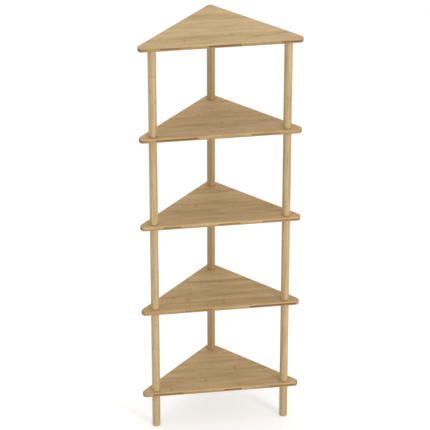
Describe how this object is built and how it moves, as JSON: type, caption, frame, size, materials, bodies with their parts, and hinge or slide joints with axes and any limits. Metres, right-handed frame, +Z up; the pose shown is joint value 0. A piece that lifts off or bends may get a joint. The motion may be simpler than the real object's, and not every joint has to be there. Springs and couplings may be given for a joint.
{
  "type": "corner shelf unit",
  "caption": "Tall open corner shelf unit in laminated bamboo: triangular shelves clamped between turned round posts, for the right-angled corner of a room.",
  "frame": {"origin": "on the floor, under the middle of the boards' outline: midway between the front edge and the back corner, and midway between the left and right tips", "axes": "+Z up; +Y from the long front edge towards the corner of the room; +X to the right as seen from the front"},
  "size_m": [0.526, 0.277, 1.45],
  "materials": {
    "board_bamboo": "laminated bamboo, clear satin lacquer, grain along the front edge",
    "post_bamboo": "turned laminated bamboo, clear satin lacquer, grain along the post",
    "zinc_plated_steel": "zinc-plated steel",
    "zinc_alloy": "die-cast zinc alloy"
  },
  "bodies": {
    "root": {"bottom_shelf": "board_bamboo", "lower_shelf": "board_bamboo", "middle_shelf": "board_bamboo", "upper_shelf": "board_bamboo", "top_shelf": "board_bamboo", "front_left_leg": "post_bamboo", "front_left_post_1": "post_bamboo", "front_left_post_2": "post_bamboo", "front_left_post_3": "post_bamboo", "front_left_post_4": "post_bamboo", "front_right_leg": "post_bamboo", "front_right_post_1": "post_bamboo", "front_right_post_2": "post_bamboo", "front_right_post_3": "post_bamboo", "front_right_post_4": "post_bamboo", "back_leg": "post_bamboo", "back_post_1": "post_bamboo", "back_post_2": "post_bamboo", "back_post_3": "post_bamboo", "back_post_4": "post_bamboo", "front_left_bolt_1": "zinc_plated_steel", "front_left_bolt_2": "zinc_plated_steel", "front_left_bolt_3": "zinc_plated_steel", "front_left_bolt_4": "zinc_plated_steel", "front_left_bolt_5": "zinc_plated_steel", "front_right_bolt_1": "zinc_plated_steel", "front_right_bolt_2": "zinc_plated_steel", "front_right_bolt_3": "zinc_plated_steel", "front_right_bolt_4": "zinc_plated_steel", "front_right_bolt_5": "zinc_plated_steel", "back_bolt_1": "zinc_plated_steel", "back_bolt_2": "zinc_plated_steel", "back_bolt_3": "zinc_plated_steel", "back_bolt_4": "zinc_plated_steel", "back_bolt_5": "zinc_plated_steel", "front_left_insert_1": "zinc_alloy", "front_left_insert_2": "zinc_alloy", "front_left_insert_3": "zinc_alloy", "front_left_insert_4": "zinc_alloy", "front_left_insert_5": "zinc_alloy", "front_right_insert_1": "zinc_alloy", "front_right_insert_2": "zinc_alloy", "front_right_insert_3": "zinc_alloy", "front_right_insert_4": "zinc_alloy", "front_right_insert_5": "zinc_alloy", "back_insert_1": "zinc_alloy", "back_insert_2": "zinc_alloy", "back_insert_3": "zinc_alloy", "back_insert_4": "zinc_alloy", "back_insert_5": "zinc_alloy"}
  },
  "joints": []
}
